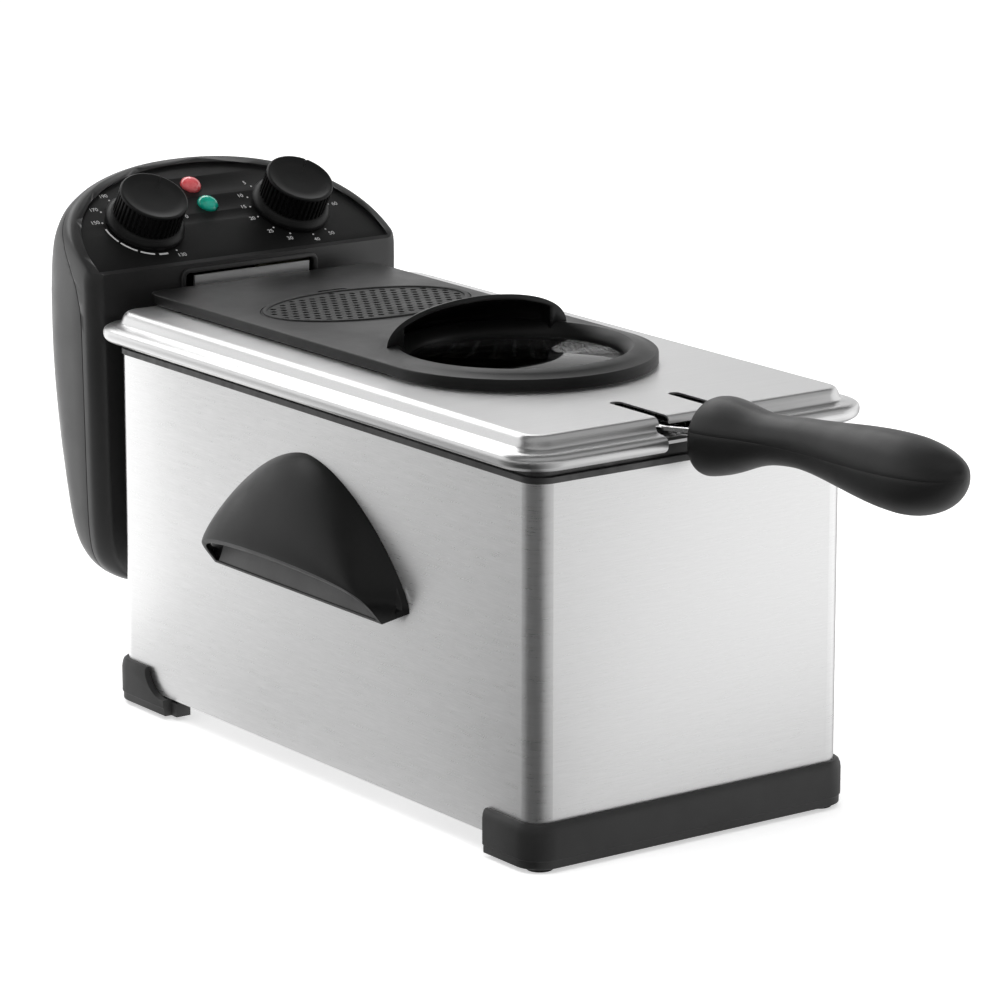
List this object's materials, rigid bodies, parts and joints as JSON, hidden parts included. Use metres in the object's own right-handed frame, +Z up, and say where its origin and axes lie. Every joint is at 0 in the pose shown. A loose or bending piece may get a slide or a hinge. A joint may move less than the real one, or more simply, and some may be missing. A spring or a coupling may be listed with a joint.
{
  "type": "deep fryer",
  "caption": "Rectangular steel deep fryer with lift-off lid, window and filter, basket with long handle, oil pot and a removable control head.",
  "frame": {"origin": "on the table under the middle of the whole object", "axes": "+Z up, -Y towards the basket handle, +Y towards the control head, +X to the right seen from the handle's end"},
  "size_m": [0.22, 0.612, 0.2535],
  "materials": {
    "brushed_steel": "fine horizontal brushing, satin",
    "rim_grey": "satin",
    "base_steel": "plain zinc plated",
    "black_plastic": "fine moulded texture",
    "foot_plastic": "matt moulded",
    "rubber_black": "matt",
    "screw_steel": "zinc plated",
    "pot_steel": "drawn stainless",
    "fascia_black": "satin",
    "lens_red": "clear",
    "lens_green": "clear",
    "bracket_steel": "plain sheet",
    "element_dark": "heat darkened",
    "copper": "plain",
    "control_cream": "plain",
    "knob_black": "satin",
    "reset_red": "plain",
    "wire_steel": "plated wire",
    "lid_steel": "brushed top, bright rim",
    "window_glass": "clear",
    "seal_grey": "matt",
    "grille_black": "satin",
    "filter_grey": "non-woven",
    "charcoal": "foam",
    "handle_black": "soft touch"
  },
  "bodies": {
    "housing": {"outer_housing": "brushed_steel", "rim_frame": "rim_grey", "base_plate": "base_steel", "front_foot": "foot_plastic", "rear_foot_left": "foot_plastic", "rear_foot_right": "foot_plastic", "rubber_pads": "rubber_black", "base_screws": "screw_steel", "left_grip": "black_plastic", "right_grip": "black_plastic", "grip_screws": "screw_steel", "head_rails": "black_plastic"},
    "pot": {"oil_pot": "pot_steel"},
    "head": {"head_front_shell": "black_plastic", "head_rear_cover": "black_plastic", "head_screws": "screw_steel", "control_fascia": "fascia_black", "power_lens": "lens_red", "heat_lens": "lens_green", "head_tabs": "black_plastic", "element_bracket": "bracket_steel", "element_guard": "bracket_steel", "leg_clips": "bracket_steel", "heating_element": "element_dark", "thermostat_bulb": "copper", "thermostat_body": "control_cream", "timer_body": "control_cream", "terminal_block": "control_cream", "inlet_socket": "fascia_black", "inlet_pins": "screw_steel"},
    "temperature_control": {"temperature_knob": "knob_black", "thermostat_shaft": "screw_steel"},
    "timer_control": {"timer_knob": "knob_black", "timer_shaft": "screw_steel"},
    "reset_key": {"reset_button": "reset_red"},
    "basket": {"basket_rim": "wire_steel", "basket_floor": "wire_steel", "basket_side_left": "wire_steel", "basket_side_right": "wire_steel", "basket_front": "wire_steel", "basket_rear": "wire_steel", "basket_runners": "wire_steel", "handle_bracket": "wire_steel", "handle_wires": "wire_steel", "handle_upper": "handle_black", "handle_lower": "handle_black", "handle_screw": "screw_steel"},
    "lid": {"lid_frame": "lid_steel", "lid_insert": "black_plastic", "finger_hood": "black_plastic", "window_glass": "window_glass", "window_seal": "seal_grey", "lid_screws": "screw_steel", "grease_filter": "filter_grey", "charcoal_filter": "charcoal"},
    "filter_lid": {"filter_cover": "grille_black"}
  },
  "joints": [
    {"name": "pot_lift", "type": "slide", "parent": "housing", "child": "pot", "axis": [0, 0, 1], "range_m": [0, 0.17]},
    {"name": "head_lift", "type": "slide", "parent": "pot", "child": "head", "axis": [0, 0, 1], "range_m": [0, 0.15]},
    {"name": "basket_lift", "type": "slide", "parent": "head", "child": "basket", "axis": [0, 0, 1], "range_m": [0, 0.13]},
    {"name": "lid_lift", "type": "slide", "parent": "basket", "child": "lid", "axis": [0, 0, 1], "range_m": [0, 0.12]},
    {"name": "filter_cover_lift", "type": "slide", "parent": "lid", "child": "filter_lid", "axis": [0, 0, 1], "range_m": [0, 0.03]},
    {"name": "temperature_turn", "type": "hinge", "parent": "head", "child": "temperature_control", "pos_m": [-0.0435, 0.26599, 0.22949], "axis": [0, -0.5299, 0.848], "range_deg": [-270, 0]},
    {"name": "timer_turn", "type": "hinge", "parent": "head", "child": "timer_control", "pos_m": [0.0435, 0.26599, 0.22949], "axis": [0, -0.5299, 0.848], "range_deg": [-300, 0]},
    {"name": "reset_press", "type": "slide", "parent": "head", "child": "reset_key", "axis": [0, -1, 0], "range_m": [0, 0.0025], "stiffness_N_per_m": 400}
  ]
}
